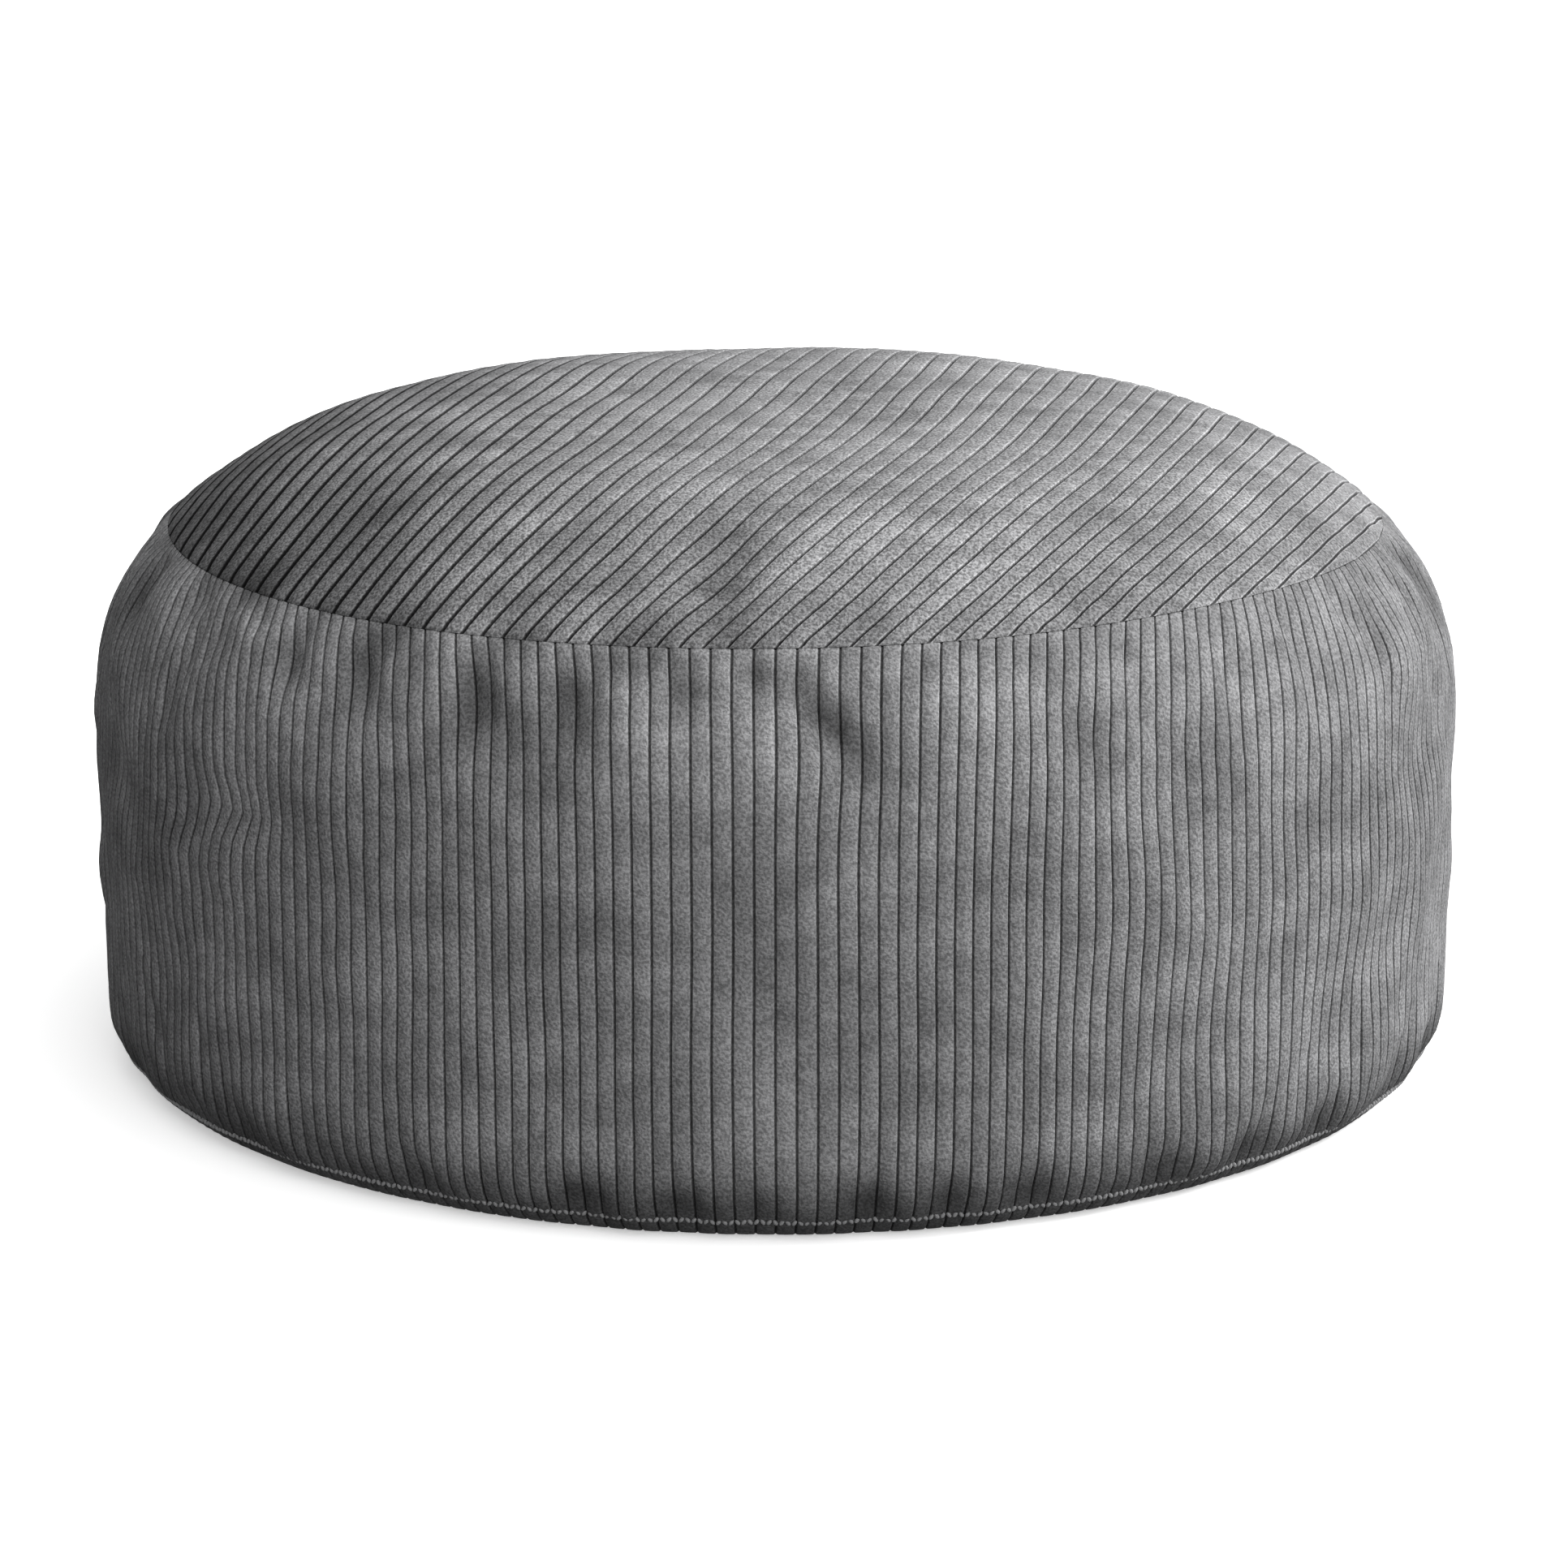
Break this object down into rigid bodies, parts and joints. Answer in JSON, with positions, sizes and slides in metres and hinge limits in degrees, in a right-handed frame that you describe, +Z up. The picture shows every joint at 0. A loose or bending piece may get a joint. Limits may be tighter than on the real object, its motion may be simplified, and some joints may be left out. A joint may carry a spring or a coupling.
{
  "type": "bean bag",
  "caption": "Low round bean bag pouffe: a filled drum in wide-wale corduroy with a domed top panel, gathered side band and flat plain base.",
  "frame": {"origin": "middle of the footprint on the floor, at the bottom of the base panel", "axes": "+Z up, -Y towards the front as pictured, +X to its right"},
  "size_m": [0.6, 0.6, 0.2865],
  "materials": {
    "side_corduroy": "matte wide-wale corduroy",
    "top_corduroy": "matte wide-wale corduroy",
    "base_cloth": "matte plain weave"
  },
  "bodies": {
    "root": {"side_band": "side_corduroy", "top_panel": "top_corduroy", "base_panel": "base_cloth"}
  },
  "joints": []
}
